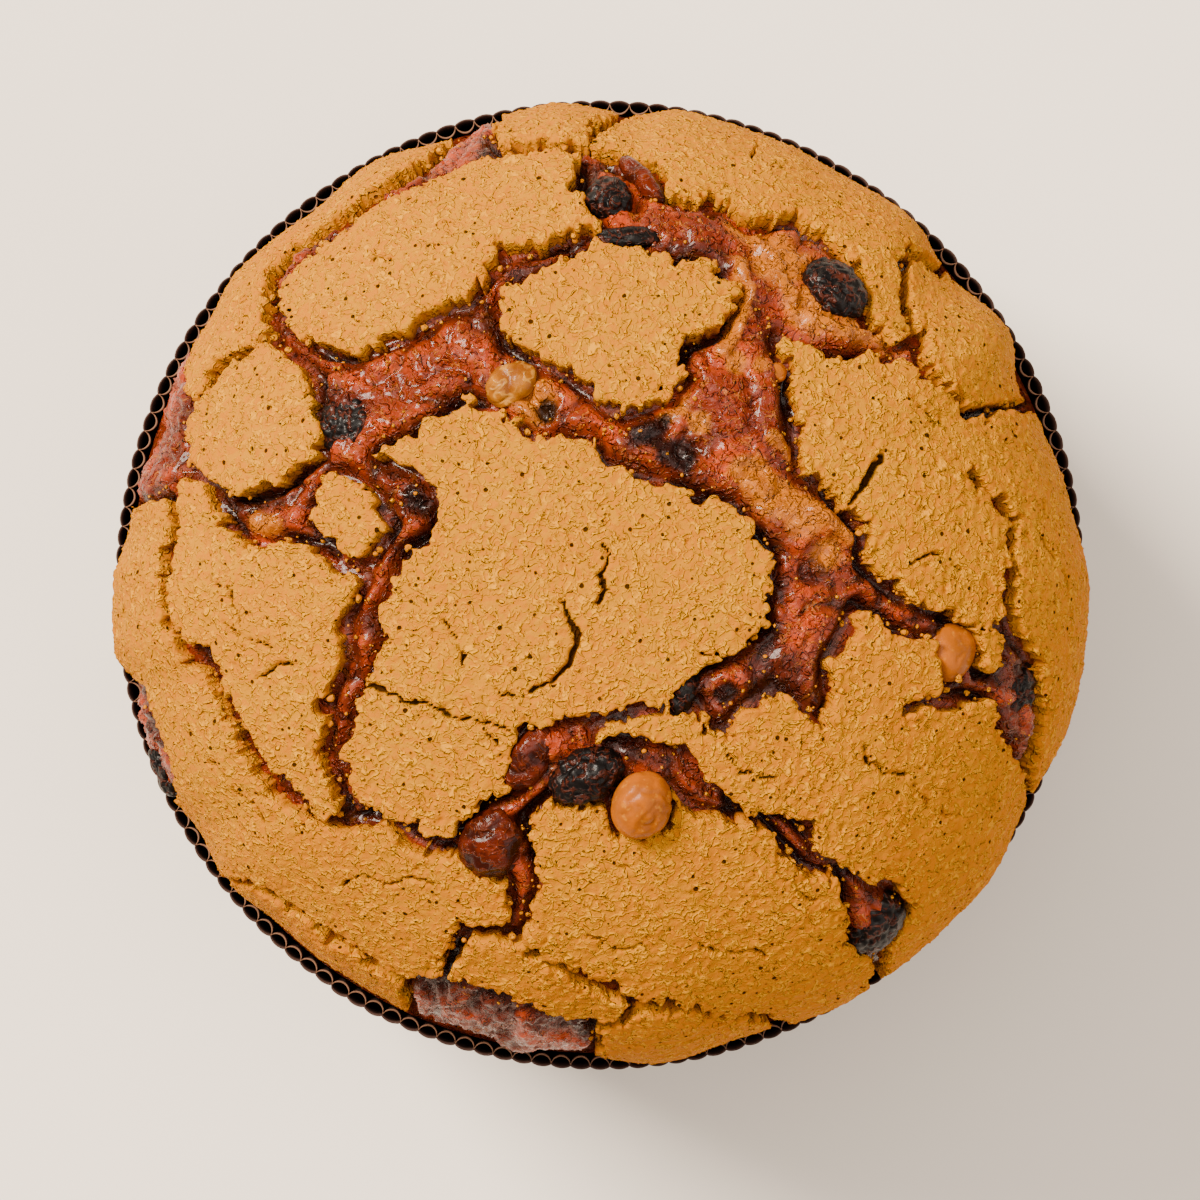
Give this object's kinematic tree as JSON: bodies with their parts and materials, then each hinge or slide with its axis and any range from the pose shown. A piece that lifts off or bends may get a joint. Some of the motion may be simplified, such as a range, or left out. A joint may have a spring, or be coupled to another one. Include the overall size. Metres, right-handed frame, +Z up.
{
  "type": "panettone",
  "caption": "Tall round fruit loaf in a fluted dark paper case, its domed crust under a cracked sugar glaze with raisins and nuts in the cracks.",
  "frame": {"origin": "middle of the flat underside of the paper case", "axes": "+Z up through the dome; +Y towards the top edge of the reference view from above, +X to its right"},
  "size_m": [0.1702, 0.17, 0.165],
  "materials": {
    "case_paper": "matt dark brown greaseproof baking paper",
    "crust": "glossy mahogany baked crust",
    "glaze": "matt, porous baked sugar glaze",
    "raisin": "wrinkled, half-gloss dark raisin skin",
    "red_fruit": "sticky, glossy red-brown candied fruit",
    "citron": "translucent, glossy candied peel",
    "hazelnut": "half-gloss roasted hazelnut skin"
  },
  "bodies": {
    "root": {"paper_case": "case_paper", "loaf": "crust", "glaze_crown": "glaze", "glaze_upper_left": "glaze", "glaze_centre_top": "glaze", "glaze_left_round": "glaze", "glaze_left_small": "glaze", "glaze_left_large": "glaze", "glaze_left_rim": "glaze", "glaze_lower_left_lip": "glaze", "glaze_upper_left_rim": "glaze", "glaze_top": "glaze", "glaze_top_right": "glaze", "glaze_upper_right_rim": "glaze", "glaze_right": "glaze", "glaze_right_centre": "glaze", "glaze_front": "glaze", "glaze_front_strip": "glaze", "glaze_front_rim": "glaze", "raisin_top_long": "raisin", "raisin_top_round": "raisin", "dried_fruit_top": "red_fruit", "raisin_upper_right": "raisin", "raisin_under_skin": "raisin", "citron_piece": "citron", "raisin_left_rim": "raisin", "raisin_centre": "raisin", "hazelnut_front": "hazelnut", "hazelnut_right": "hazelnut", "raisin_right": "raisin", "raisin_front_right": "raisin", "raisin_gap": "raisin", "cherry_front": "red_fruit", "apricot_piece": "red_fruit", "nut_piece": "hazelnut"}
  },
  "joints": []
}
